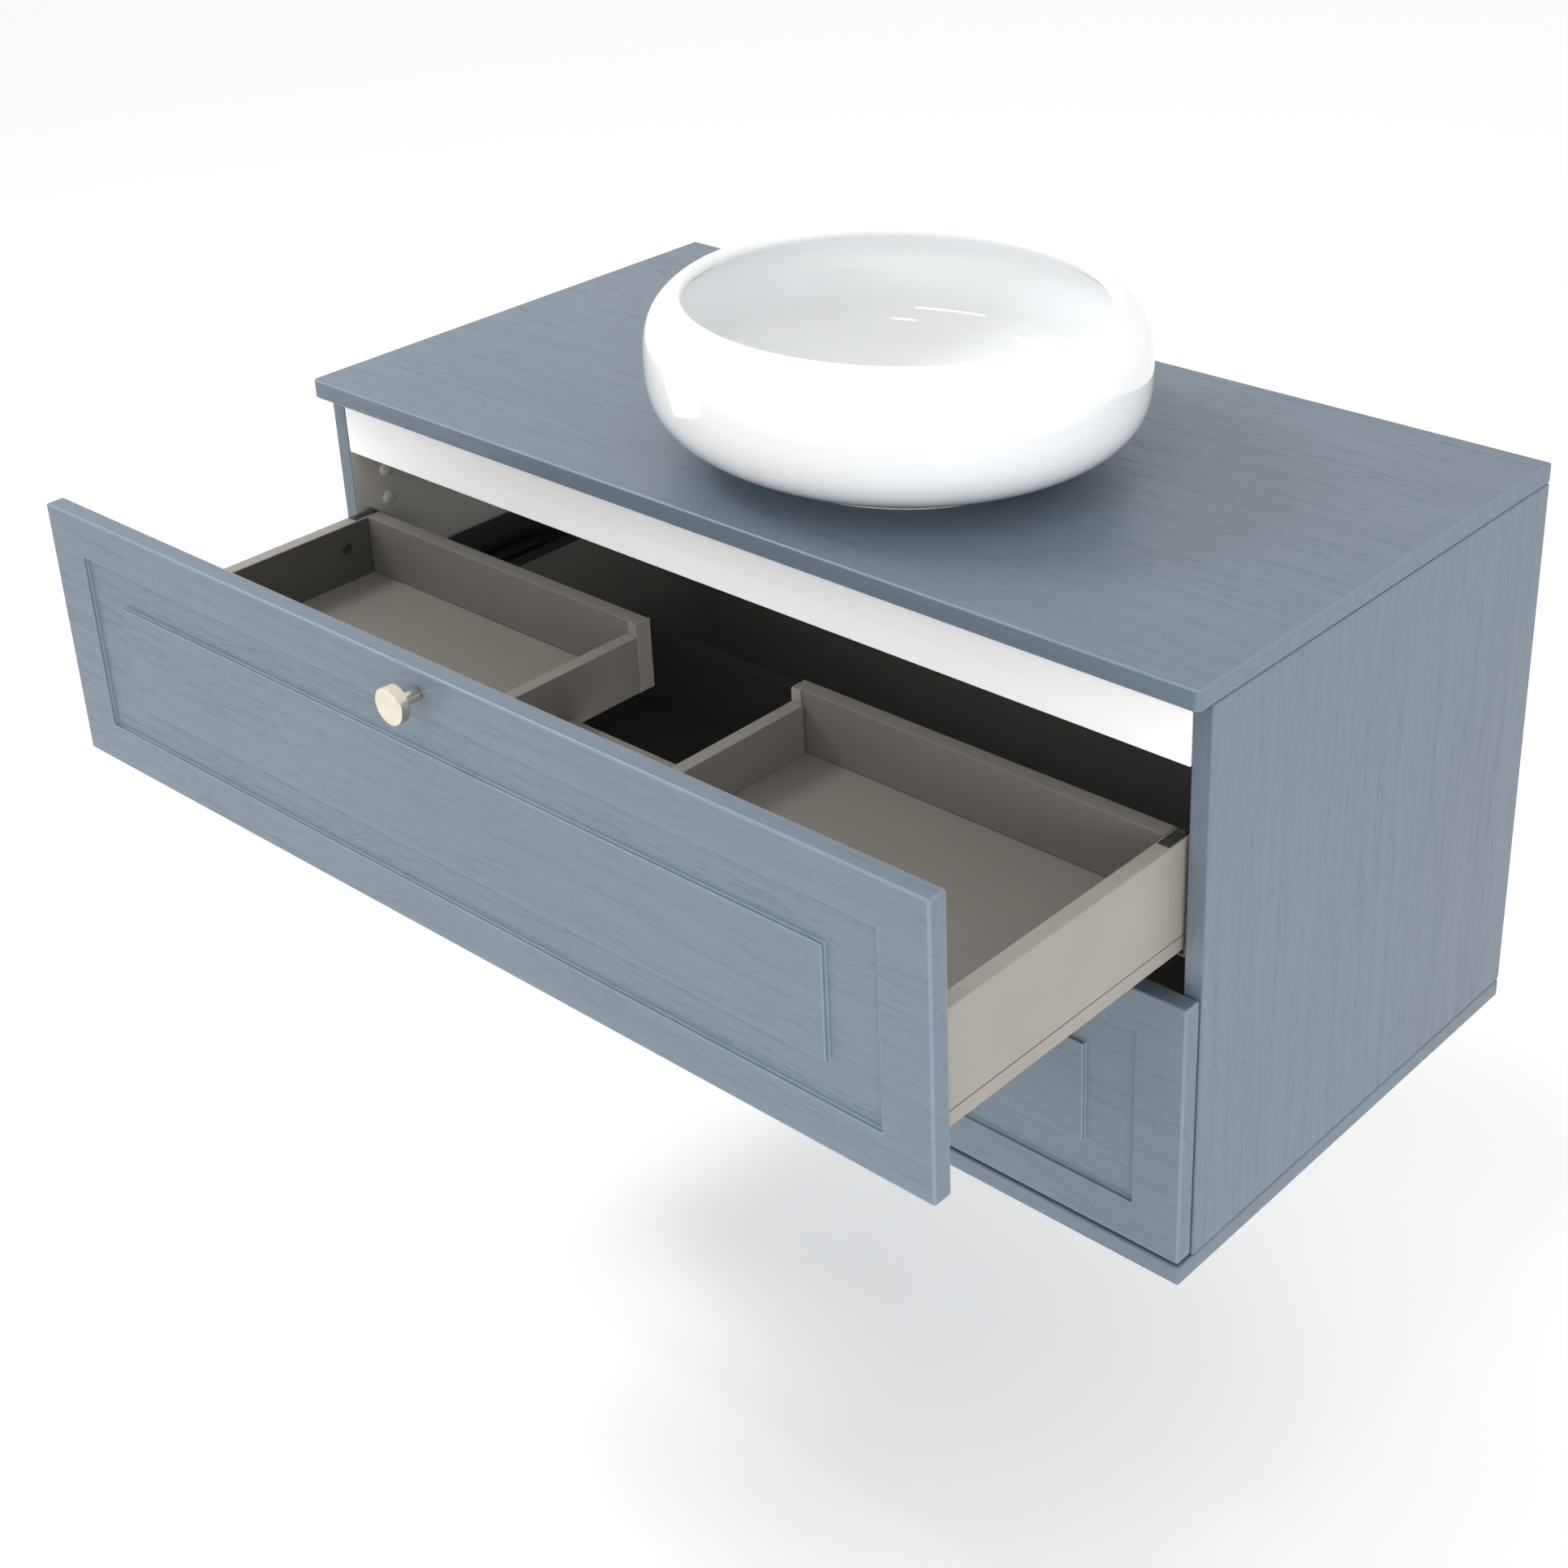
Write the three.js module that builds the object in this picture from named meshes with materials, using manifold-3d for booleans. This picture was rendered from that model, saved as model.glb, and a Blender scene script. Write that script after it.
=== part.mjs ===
// Wall-hung bathroom vanity with two drawers and an oval vessel basin.
// Millimetres, +Z up, +X to the right and -Y to the front. The wall is the plane y = 0.
// The origin is the middle of the wall rail's back face, where the cabinet is fixed.
import * as THREE from 'three';
import { mergeVertices } from 'three/addons/utils/BufferGeometryUtils.js';
import Module from 'manifold-3d';

const wasm = await Module();
wasm.setup();

// ---- Overall sizes ----
const cabinetWidth = 900;
const cabinetDepth = 460;
const cabinetHeight = 480;

// ---- Boards and the gaps between them ----
const topThickness = 16;
const baseThickness = 16;
const sideThickness = 16;
const frontThickness = 16;
const boardGap = 0.4;
const boardEdge = 1.5;
const slabCorner = 5;
const bumperGap = 1.5;
const frontSideGap = 1;
const frontGapTop = 6;
const frontGapMiddle = 3;
const frontGapBottom = 3;

const backThickness = 8;
const wallRailThickness = 16;
const wallRailHeight = 90;
const crossRailHeight = 52;
const crossRailThickness = 16;

// ---- Shaker relief of the drawer fronts ----
const stileWidth = 41;
const stileHeight = 35;
const channelSide = 44;
const channelHeight = 31;
const channelDepth = 3.5;

// ---- Knobs ----
const knobDropFromTop = 18;
const knobDiameter = 28;
const knobDiscThickness = 8;
const knobStemDiameter = 10;
const knobProjection = 25;
const knobScrewDiameter = 4;
const knobScrewClearance = 0.25;
const knobScrewReach = 12;
const knobScrewHeadDiameter = 8;
const knobScrewHeadHeight = 2.4;
const knobScrewHeadRelief = 0.1;

// ---- Drawer boxes ----
const upperDrawerOpening = 262;
const drawerLength = 275;
const drawerSideThickness = 13;
const drawerSideClearance = 3.5;
const upperDrawerSideHeight = 88;
const lowerDrawerSideHeight = 112;
const drawerSideLift = 28;
const drawerFloorThickness = 8;
const drawerFloorLift = 28;
const drawerBackThickness = 14;
const seamDrop = 12;
const seamWidth = 1;
const seamDepth = 1;
const contactGap = 0.3;

// ---- Waste notch of the upper drawer ----
const notchHalfWidth = 83;
const notchLength = 88;
const dividerThickness = 12;
const dividerDrop = 11;
const trimThickness = 1.2;
const trimLip = 9;

// ---- Small drawer fittings ----
const clipLength = 26;
const clipHeight = 3;
const clipInset = 1.5;
const clipRise = 0.6;
const adjusterDiameter = 10;
const adjusterThickness = 2;
const adjusterFromBack = 26;
const adjusterDropFromTop = 20;
const fixingWidth = 7;
const fixingDepth = 18;
const fixingHeight = 46;
const fixingClearance = 0.4;

// ---- Screw caps on the inner faces of the cabinet sides ----
const capDiameter = 12;
const capThickness = 2.5;
const capPitch = 26;
const capFromFront = 34;
const capBelowTop = 96;

// ---- Drawer runners ----
const runnerRearGap = 35;
const runnerSheet = 1.6;
const runnerWallHeight = 34;
const runnerFlangeWidth = 40;
const runnerLipHeight = 9;
const runnerSetback = 3;
const midWidth = 12;
const midHeight = 6;
const midLength = 300;
const midLift = 2;
const midInset = 3;
const midSetback = 6;
const glideWidth = 16;
const glideHeight = 23;
const glideLength = 265;
const glideSetback = 4;
const wallMount = 1.2;

// ---- Basin ----
const basinHalfWidth = 202;
const basinHalfDepth = 181;
const basinWidestHeight = 72;
const basinCrownHeight = 149;
const basinOffsetX = 45;
const basinFrontInset = 2;
const basinFootInset = 80;
const basinRimInset = 26;
const basinWall = 11;
const basinDrainFloor = 9;
const basinDrainMargin = 4;
const basinUpperFullness = 3.2;
const basinLowerFullness = 3;
const sealantHeight = 1.6;
const sealantWidth = 12;

// ---- Waste ----
const wasteTubeDiameter = 40;
const wasteTubeWall = 3;
const wasteHoleClearance = 3;
const wasteFlangeDiameter = 64;
const wasteFlangeThickness = 2.5;
const wastePlugDiameter = 58;
const wastePlugThickness = 4;
const wastePlugLift = 6;
const wasteStemDiameter = 8;
const wasteStemLength = 34;
const wasteBridgeWidth = 6;
const wasteBridgeThickness = 5;
const wasteBridgeDrop = 20;
const wasteBossDiameter = 15;
const wasteStemClearance = 0.05;
const wasteThreadGap = 0.3;
const wasteNutDiameter = 62;
const wasteNutHeight = 12;
const wasteWasherHeight = 3;
const wasteBodyDrop = 34;
const tailDiameter = 32;
const tailWall = 1.5;
const tailLength = 46;

// ---- Materials ----
function finish(colour, roughness, metalness = 0) {
  return new THREE.MeshStandardMaterial({ color: colour, roughness, metalness });
}
const bluePaint = finish(0x8496a2, 0.45);
const whiteLaminate = finish(0xf4f4f2, 0.4);
const greyLaminate = finish(0x8d8880, 0.55);
const taupeSteel = finish(0x9a938b, 0.5, 0.2);
const darkBoard = finish(0x4a4640, 0.7);
const blackSteel = finish(0x2a2b2d, 0.4, 0.6);
const nickel = finish(0xc9c0ae, 0.25, 1);
const chrome = finish(0xdfe2e5, 0.1, 1);
const ceramic = finish(0xf8f8f8, 0.08);
const plastic = finish(0xd0d0cc, 0.4);
const darkPlastic = finish(0x3b3936, 0.5);
const rubber = finish(0x202020, 0.9);

// ---- Solid helpers ----
function toSolid(geometry) {
  const bare = geometry.clone();
  bare.deleteAttribute('normal');
  bare.deleteAttribute('uv');
  const merged = mergeVertices(bare, 1e-4);
  const vertProperties = new Float32Array(merged.attributes.position.array);
  const triVerts = new Uint32Array(merged.index.array);
  return new wasm.Manifold(new wasm.Mesh({ numProp: 3, vertProperties, triVerts }));
}

function toGeometry(solid) {
  const mesh = solid.getMesh();
  const geometry = new THREE.BufferGeometry();
  geometry.setAttribute('position', new THREE.BufferAttribute(mesh.vertProperties, 3));
  geometry.setIndex(new THREE.BufferAttribute(mesh.triVerts, 1));
  return geometry;
}

// A block between two corners.
function block(low, high) {
  const size = high.map((value, i) => value - low[i]);
  const geometry = new THREE.BoxGeometry(size[0], size[1], size[2]);
  geometry.translate(low[0] + size[0] / 2, low[1] + size[1] / 2, low[2] + size[2] / 2);
  return geometry;
}

// The low and high corners from spans along x, y and z. The x span may run either way.
function corners([xa, xb], [ya, yb], [za, zb]) {
  return [[Math.min(xa, xb), ya, za], [Math.max(xa, xb), yb, zb]];
}

// A board between two corners with a small chamfer on the edges of its two broad faces.
function board(low, high, across, edge = boardEdge) {
  const size = high.map((value, i) => value - low[i]);
  const axes = [0, 1, 2].filter((axis) => axis !== across);
  const halfU = size[axes[0]] / 2 - edge;
  const halfV = size[axes[1]] / 2 - edge;
  const outline = new THREE.Shape();
  outline.moveTo(-halfU, -halfV);
  outline.lineTo(halfU, -halfV);
  outline.lineTo(halfU, halfV);
  outline.lineTo(-halfU, halfV);
  outline.closePath();
  const geometry = new THREE.ExtrudeGeometry(outline, {
    depth: size[across] - 2 * edge,
    bevelEnabled: true,
    bevelThickness: edge,
    bevelSize: edge,
    bevelSegments: 1,
  });
  geometry.translate(0, 0, edge - size[across] / 2);
  const u = new THREE.Vector3().setComponent(axes[0], 1);
  const v = new THREE.Vector3().setComponent(axes[1], 1);
  const n = new THREE.Vector3().crossVectors(u, v);
  geometry.applyMatrix4(new THREE.Matrix4().makeBasis(u, v, n));
  geometry.translate(...low.map((value, i) => value + size[i] / 2));
  return geometry;
}

// A round bar along an axis, from one point over a length.
function bar(start, axis, length, diameter, sides = 32) {
  const geometry = new THREE.CylinderGeometry(diameter / 2, diameter / 2, length, sides);
  const direction = new THREE.Vector3(...axis);
  const turn = new THREE.Quaternion().setFromUnitVectors(new THREE.Vector3(0, 1, 0), direction);
  geometry.applyQuaternion(turn);
  const middle = new THREE.Vector3(...start).addScaledVector(direction, length / 2);
  geometry.translate(middle.x, middle.y, middle.z);
  return geometry;
}

// A turned piece about the vertical axis, from a closed profile of [radius, height] points.
function turned(profile, segments = 48) {
  const points = profile.map(([r, z]) => new THREE.Vector2(r, z));
  const geometry = new THREE.LatheGeometry(points, segments);
  geometry.rotateX(Math.PI / 2);
  return toSolid(geometry);
}

function cut(body, ...tools) {
  let solid = toSolid(body);
  for (const tool of tools) {
    solid = solid.subtract(toSolid(tool));
  }
  return toGeometry(solid);
}

const vanity = new THREE.Group();

function add(name, geometry, material) {
  const mesh = new THREE.Mesh(geometry, material);
  mesh.name = name;
  vanity.add(mesh);
}

// ---- Levels and planes that the pieces share ----
const halfWidth = cabinetWidth / 2;
const innerHalf = halfWidth - sideThickness;
const sideBottom = baseThickness + boardGap;
const sideTop = cabinetHeight - topThickness - boardGap;
const frontPlane = -cabinetDepth;
const frontBack = frontPlane + frontThickness;
const carcassFront = frontBack + bumperGap;
const frontSpace = cabinetHeight - topThickness - baseThickness;
const frontHeight = (frontSpace - frontGapTop - frontGapMiddle - frontGapBottom) / 2;
const lowerFrontBottom = baseThickness + frontGapBottom;
const upperFrontBottom = lowerFrontBottom + frontHeight + frontGapMiddle;
const railBottom = cabinetHeight - topThickness - crossRailHeight;
const backFace = -wallRailThickness - boardGap - backThickness;
const basinY = frontPlane + basinFrontInset + basinHalfDepth;
const basinFoot = cabinetHeight + sealantHeight;
const basinFootRadius = basinHalfWidth - basinFootInset;
const basinRimRadius = basinHalfWidth - basinRimInset;
// The flat of the drain clears the waste's flange in the basin's narrower direction too.
const basinDrainClear = wasteFlangeDiameter / 2 + basinDrainMargin;
const basinDrainRadius = basinDrainClear * (basinHalfWidth / basinHalfDepth);
const wasteHoleDiameter = wasteTubeDiameter + 2 * wasteHoleClearance;

// ---- Cabinet ----
// Top slab with the hole that the waste passes through.
function countertop() {
  const halfDepth = cabinetDepth / 2;
  const inner = { w: halfWidth - boardEdge, d: halfDepth - boardEdge };
  const outline = new THREE.Shape();
  outline.moveTo(-inner.w, inner.d);
  outline.lineTo(-inner.w, -inner.d + slabCorner);
  outline.quadraticCurveTo(-inner.w, -inner.d, -inner.w + slabCorner, -inner.d);
  outline.lineTo(inner.w - slabCorner, -inner.d);
  outline.quadraticCurveTo(inner.w, -inner.d, inner.w, -inner.d + slabCorner);
  outline.lineTo(inner.w, inner.d);
  outline.closePath();
  const geometry = new THREE.ExtrudeGeometry(outline, {
    depth: topThickness - 2 * boardEdge,
    bevelEnabled: true,
    bevelThickness: boardEdge,
    bevelSize: boardEdge,
    bevelSegments: 1,
    curveSegments: 4,
  });
  geometry.translate(0, -halfDepth, cabinetHeight - topThickness + boardEdge);
  const holeStart = [basinOffsetX, basinY, cabinetHeight - topThickness - 1];
  return cut(geometry, bar(holeStart, [0, 0, 1], topThickness + 2, wasteHoleDiameter));
}

add('countertop', countertop(), bluePaint);
add('base_panel', board([-halfWidth, frontPlane, 0], [halfWidth, 0, baseThickness], 2), bluePaint);
for (const [name, sign] of [['left', -1], ['right', 1]]) {
  const x = [sign * halfWidth, sign * innerHalf];
  const panel = board(...corners(x, [carcassFront, 0], [sideBottom, sideTop]), 0);
  add(`side_panel_${name}`, panel, bluePaint);
}

const betweenSides = innerHalf - boardGap;
const backLow = [-betweenSides, backFace, sideBottom];
const backHigh = [betweenSides, backFace + backThickness, sideTop];
add('back_panel', block(backLow, backHigh), darkBoard);

const wallRailLow = [-betweenSides, -wallRailThickness, sideTop - wallRailHeight];
add('wall_rail', block(wallRailLow, [betweenSides, 0, sideTop]), darkBoard);

const crossRailLow = [-betweenSides, carcassFront, railBottom];
const crossRailHigh = [betweenSides, carcassFront + crossRailThickness, sideTop];
add('front_rail', board(crossRailLow, crossRailHigh, 1, 0.8), whiteLaminate);

// Caps over the connecting screws, two on each side panel.
for (const [name, sign] of [['left', -1], ['right', 1]]) {
  for (const [place, step] of [['upper', 0], ['lower', 1]]) {
    const z = cabinetHeight - capBelowTop - step * capPitch;
    const start = [sign * betweenSides, carcassFront + capFromFront, z];
    const cap = bar(start, [-sign, 0, 0], capThickness, capDiameter, 24);
    add(`screw_cap_${name}_${place}`, cap, plastic);
  }
}

// ---- Drawer fronts and knobs ----
const knobScrewSink = knobScrewHeadHeight + contactGap + knobScrewHeadRelief;

// A painted front: frame, sunk channel and raised field, with the hole for the knob's screw
// and a sink for the screw's head at the back.
function drawerFront(y, bottom) {
  const half = halfWidth - frontSideGap;
  const top = bottom + frontHeight;
  const knobZ = top - knobDropFromTop;
  const panel = toSolid(board([-half, y, bottom], [half, y + frontThickness, top], 1));
  const outerLow = [-half + stileWidth, y - 1, bottom + stileHeight];
  const outerHigh = [half - stileWidth, y + channelDepth, top - stileHeight];
  const innerLow = [outerLow[0] + channelSide, y - 2, outerLow[2] + channelHeight];
  const innerHigh = [outerHigh[0] - channelSide, y + frontThickness, outerHigh[2] - channelHeight];
  const field = toSolid(block(innerLow, innerHigh));
  const channel = toSolid(block(outerLow, outerHigh)).subtract(field);
  const holeDiameter = knobScrewDiameter + 2 * knobScrewClearance;
  const hole = bar([0, y - 1, knobZ], [0, 1, 0], frontThickness + 2, holeDiameter, 16);
  const sinkStart = [0, y + frontThickness - knobScrewSink, knobZ];
  const sinkDiameter = knobScrewHeadDiameter + 2 * knobScrewClearance;
  const sink = bar(sinkStart, [0, 1, 0], knobScrewSink + 1, sinkDiameter, 24);
  return toGeometry(panel.subtract(channel).subtract(toSolid(hole)).subtract(toSolid(sink)));
}

// Turned knob: a stem against the front and a flat disc, with a blind bore for the screw.
function knob(y, z) {
  const disc = knobDiameter / 2;
  const stem = knobStemDiameter / 2;
  const bore = knobScrewDiameter / 2 + knobScrewClearance;
  const neck = knobProjection - knobDiscThickness;
  const solid = turned([
    [bore, contactGap],
    [stem, contactGap],
    [stem, neck],
    [disc - 0.8, neck],
    [disc, neck + 0.8],
    [disc, knobProjection - 0.6],
    [disc - 0.6, knobProjection],
    [0, knobProjection],
    [0, knobScrewReach + 2],
    [bore, knobScrewReach + 2],
    [bore, contactGap],
  ], 40);
  const geometry = toGeometry(solid);
  geometry.rotateX(Math.PI / 2);
  geometry.translate(0, y, z);
  return geometry;
}

// Pan-head screw that pulls the knob against the front from behind.
function knobScrew(y, z) {
  const headY = y + frontThickness - knobScrewSink + contactGap;
  const shaftStart = [0, y - knobScrewReach, z];
  const shaftLength = headY - shaftStart[1] + 0.2;
  const headStart = [0, headY, z];
  const shaft = toSolid(bar(shaftStart, [0, 1, 0], shaftLength, knobScrewDiameter, 16));
  const head = toSolid(bar(headStart, [0, 1, 0], knobScrewHeadHeight, knobScrewHeadDiameter, 24));
  return toGeometry(shaft.add(head));
}

// ---- Drawer boxes ----
const drawerOuterHalf = innerHalf - drawerSideClearance;
const drawerInnerHalf = drawerOuterHalf - drawerSideThickness;
const floorHalf = drawerInnerHalf - contactGap;

// Steel side: a bar with a fine seam above its lower edge, a pocket for the front's
// fixing and a step at the back for the corner clip.
function drawerSide(sign, frontY, low, height) {
  const y0 = frontY + contactGap;
  const y1 = frontY + drawerLength;
  const outer = sign * drawerOuterHalf;
  const inner = sign * drawerInnerHalf;
  const top = low + height;
  const body = board(...corners([outer, inner], [y0, y1], [low, top]), 0, 0.8);
  const seamX = [outer + sign, outer - sign * seamDepth];
  const seamZ = [low + seamDrop, low + seamDrop + seamWidth];
  const seam = block(...corners(seamX, [y0 - 1, y1 + 1], seamZ));
  const middle = (outer + inner) / 2;
  const half = fixingWidth / 2 + fixingClearance;
  const pocketY = [y0 - 1, y0 + fixingDepth + fixingClearance];
  const pocketLow = low + (height - fixingHeight) / 2 - fixingClearance;
  const pocketZ = [pocketLow, pocketLow + fixingHeight + 2 * fixingClearance];
  const pocket = block(...corners([middle - half, middle + half], pocketY, pocketZ));
  const stepX = [outer + sign, inner - sign];
  const step = block(...corners(stepX, [y1 - clipLength, y1 + 1], [top - clipHeight, top + 1]));
  return cut(body, seam, pocket, step);
}

function fixing(sign, frontY, low, height) {
  const middle = sign * (drawerOuterHalf - drawerSideThickness / 2);
  const z = low + (height - fixingHeight) / 2;
  const start = [middle - fixingWidth / 2, frontY + contactGap, z];
  return block(start, [middle + fixingWidth / 2, frontY + fixingDepth, z + fixingHeight]);
}

// Plastic clip that locks the side to the back, lying in the side's step.
function cornerClip(sign, frontY, top) {
  const y1 = frontY + drawerLength;
  const x = [sign * (drawerOuterHalf - clipInset), sign * (drawerInnerHalf + clipInset)];
  const y = [y1 - clipLength + contactGap, y1];
  return board(...corners(x, y, [top - clipHeight + contactGap, top + clipRise]), 2, 0.5);
}

function adjuster(sign, frontY, top) {
  const y = frontY + drawerLength - drawerBackThickness - adjusterFromBack;
  const start = [sign * (drawerInnerHalf - contactGap), y, top - adjusterDropFromTop];
  const disc = bar(start, [-sign, 0, 0], adjusterThickness, adjusterDiameter, 24);
  const slotX = start[0] - sign * adjusterThickness;
  const slot = block([slotX - 0.8, y - 3, start[2] - 0.6], [slotX + 0.8, y + 3, start[2] + 0.6]);
  return cut(disc, slot);
}

const floorLow = (low) => low + drawerFloorLift;
const floorTop = (low) => floorLow(low) + drawerFloorThickness;

function drawerFloor(boxY, low) {
  const y = [boxY + contactGap, boxY + drawerLength];
  return block(...corners([-floorHalf, floorHalf], y, [floorLow(low), floorTop(low)]));
}

// Upper drawer: a U-shaped tray around the basin's waste.
function upperDrawer() {
  const frontY = frontPlane - upperDrawerOpening;
  const boxY = frontY + frontThickness;
  const backEnd = boxY + drawerLength;
  const low = upperFrontBottom + drawerSideLift;
  const top = low + upperDrawerSideHeight;
  const knobZ = upperFrontBottom + frontHeight - knobDropFromTop;
  add('upper_front', drawerFront(frontY, upperFrontBottom), bluePaint);
  add('upper_knob', knob(frontY, knobZ), nickel);
  add('upper_knob_screw', knobScrew(frontY, knobZ), chrome);

  const panel = drawerFloor(boxY, low);
  const notchHalf = notchHalfWidth + dividerThickness + contactGap;
  const notchY = [backEnd - notchLength, backEnd + 1];
  const notch = block(...corners([-notchHalf, notchHalf], notchY, [low - 5, top]));
  add('upper_floor', cut(panel, notch), greyLaminate);

  const backFront = backEnd - drawerBackThickness;
  const boardLow = floorTop(low) + contactGap;
  const dividerOuter = notchHalfWidth + dividerThickness;
  for (const [name, sign] of [['left', -1], ['right', 1]]) {
    const side = drawerSide(sign, boxY, low, upperDrawerSideHeight);
    add(`upper_side_${name}`, side, taupeSteel);
    add(`upper_fixing_${name}`, fixing(sign, boxY, low, upperDrawerSideHeight), chrome);
    add(`upper_clip_${name}`, cornerClip(sign, boxY, top), darkPlastic);
    add(`upper_adjuster_${name}`, adjuster(sign, boxY, top), darkPlastic);
    const notchX = sign * notchHalfWidth;
    const backX = [sign * floorHalf, notchX + sign * (trimThickness + contactGap)];
    const back = board(...corners(backX, [backFront, backEnd], [boardLow, top]), 1, 0.6);
    add(`upper_back_${name}`, back, greyLaminate);
    const dividerX = [notchX, sign * dividerOuter];
    const dividerY = [boxY + contactGap, backFront - trimThickness - 2 * contactGap];
    const dividerZ = [boardLow, top - dividerDrop];
    const divider = toSolid(board(...corners(dividerX, dividerY, dividerZ), 0, 0.6));
    const skirtY = [backEnd - notchLength + contactGap, dividerY[1]];
    const skirt = toSolid(block(...corners(dividerX, skirtY, [floorLow(low), boardLow + 1])));
    add(`upper_divider_${name}`, toGeometry(divider.add(skirt)), greyLaminate);

    // Edge profile around the back board's end, an L in plan, as deep as the divider.
    const trimZ = [floorLow(low), top];
    const face = backFront - contactGap;
    const capX = [notchX, notchX + sign * trimThickness];
    const lipX = [notchX, notchX + sign * trimLip];
    const cap = block(...corners(capX, [face - trimThickness, backEnd], trimZ));
    const lip = block(...corners(lipX, [face - trimThickness, face], trimZ));
    add(`upper_trim_${name}`, toGeometry(toSolid(cap).add(toSolid(lip))), taupeSteel);
  }
}

// Lower drawer: a plain tray with higher sides.
function lowerDrawer() {
  const boxY = frontPlane + frontThickness;
  const backEnd = boxY + drawerLength;
  const low = lowerFrontBottom + drawerSideLift;
  const top = low + lowerDrawerSideHeight;
  const knobZ = lowerFrontBottom + frontHeight - knobDropFromTop;
  add('lower_front', drawerFront(frontPlane, lowerFrontBottom), bluePaint);
  add('lower_knob', knob(frontPlane, knobZ), nickel);
  add('lower_knob_screw', knobScrew(frontPlane, knobZ), chrome);
  add('lower_floor', drawerFloor(boxY, low), greyLaminate);
  const backY = [backEnd - drawerBackThickness, backEnd];
  const backZ = [floorTop(low) + contactGap, top];
  const back = board(...corners([-floorHalf, floorHalf], backY, backZ), 1, 0.6);
  add('lower_back', back, greyLaminate);
  for (const [name, sign] of [['left', -1], ['right', 1]]) {
    const side = drawerSide(sign, boxY, low, lowerDrawerSideHeight);
    add(`lower_side_${name}`, side, taupeSteel);
    add(`lower_fixing_${name}`, fixing(sign, boxY, low, lowerDrawerSideHeight), chrome);
    add(`lower_clip_${name}`, cornerClip(sign, boxY, top), darkPlastic);
  }
}

upperDrawer();
lowerDrawer();

// ---- Runners ----
// Under each drawer side: a cabinet profile screwed to the side panel, a middle member that
// travels half as far as the drawer, and a glide rail under the drawer's floor.
function runner(prefix, frontBottom, drawerY) {
  const low = frontBottom + drawerSideLift;
  const glideLow = floorLow(low) - contactGap - glideHeight;
  const midLow = glideLow - contactGap - midHeight;
  const shelfTop = midLow - midLift;
  const shelfLow = shelfTop - runnerSheet;
  const start = carcassFront + runnerSetback;
  const y = [start, backFace - runnerRearGap];
  const midStart = start + midSetback + (drawerY - frontBack) / 2;
  const midY = [midStart, midStart + midLength];
  const glideY = [drawerY + glideSetback, drawerY + glideSetback + glideLength];
  for (const [name, sign] of [['left', -1], ['right', 1]]) {
    const wallX = sign * (innerHalf - wallMount);
    const shelfX = wallX - sign * runnerFlangeWidth;
    const wallTop = shelfLow + runnerWallHeight;
    const wall = block(...corners([wallX, wallX - sign * runnerSheet], y, [shelfLow, wallTop]));
    const shelf = block(...corners([wallX, shelfX], y, [shelfLow, shelfTop]));
    const lipX = [shelfX, shelfX + sign * runnerSheet];
    const lip = block(...corners(lipX, y, [shelfLow, shelfLow + runnerLipHeight]));
    const profile = toSolid(wall).add(toSolid(shelf)).add(toSolid(lip));
    add(`${prefix}_runner_cabinet_${name}`, toGeometry(profile), blackSteel);

    const midOuter = sign * (drawerInnerHalf - midInset);
    const midX = [midOuter, midOuter - sign * midWidth];
    const mid = block(...corners(midX, midY, [midLow, midLow + midHeight]));
    add(`${prefix}_runner_middle_${name}`, mid, blackSteel);

    const glideMiddle = midOuter - sign * (midWidth / 2);
    const glideX = [glideMiddle - glideWidth / 2, glideMiddle + glideWidth / 2];
    const glide = block(...corners(glideX, glideY, [glideLow, glideLow + glideHeight]));
    add(`${prefix}_runner_glide_${name}`, glide, blackSteel);
  }
}

runner('upper', upperFrontBottom, frontBack - upperDrawerOpening);
runner('lower', lowerFrontBottom, frontBack);

// ---- Basin ----
// A point of the outer profile and its outward normal. The curve is fuller above the
// widest level than below it. The angle runs from -90 degrees at the foot upwards.
function basinOutline(angle) {
  const up = angle >= 0;
  const reach = up ? basinCrownHeight - basinWidestHeight : basinWidestHeight;
  const power = up ? basinUpperFullness : basinLowerFullness;
  const c = Math.cos(angle);
  const s = Math.sin(angle);
  const stretch = (c ** power + Math.abs(s) ** power) ** (-1 / power);
  const point = [basinHalfWidth * stretch * c, basinWidestHeight + reach * stretch * s];
  const slope = [
    (c * stretch) ** (power - 1) / basinHalfWidth,
    (Math.sign(s) * (Math.abs(s) * stretch) ** (power - 1)) / reach,
  ];
  const length = Math.hypot(slope[0], slope[1]);
  return { point, normal: slope.map((value) => value / length) };
}

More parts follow.
